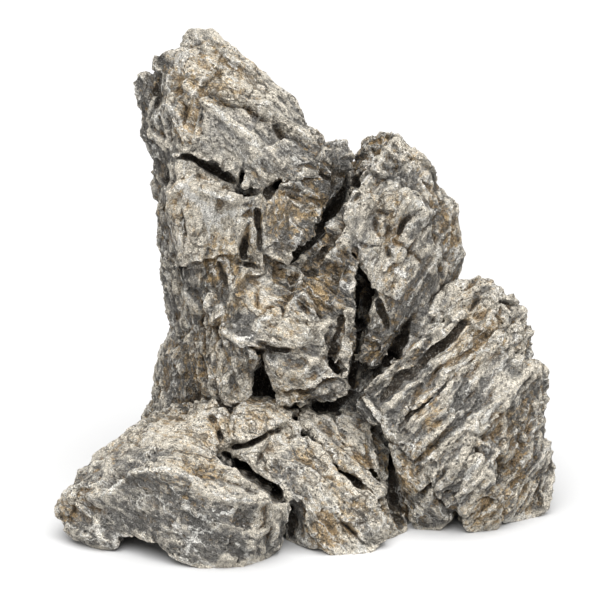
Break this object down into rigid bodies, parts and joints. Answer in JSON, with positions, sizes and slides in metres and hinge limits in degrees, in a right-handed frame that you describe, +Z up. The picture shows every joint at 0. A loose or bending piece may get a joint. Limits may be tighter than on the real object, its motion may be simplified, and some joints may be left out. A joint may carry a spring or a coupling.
{
  "type": "seiryu stone",
  "caption": "Craggy grey limestone aquascaping rock: a tall peak, a lower side peak and low front lobes split by deep clefts, flat under its feet so that it stands by itself.",
  "frame": {"origin": "centre of the stone's bounding box in X and Y, at the level of the surface that it stands on", "axes": "+Z up, +X to the right and -Y toward the viewer when the stone is seen from its front, with the tall peak on the left"},
  "size_m": [0.258, 0.163, 0.248],
  "materials": {
    "limestone": "rough weathered grey limestone with a pale crust on its upper edges, ochre stains in its hollows and thin white calcite veins"
  },
  "bodies": {
    "root": {"seiryu_stone": "limestone"}
  },
  "joints": []
}
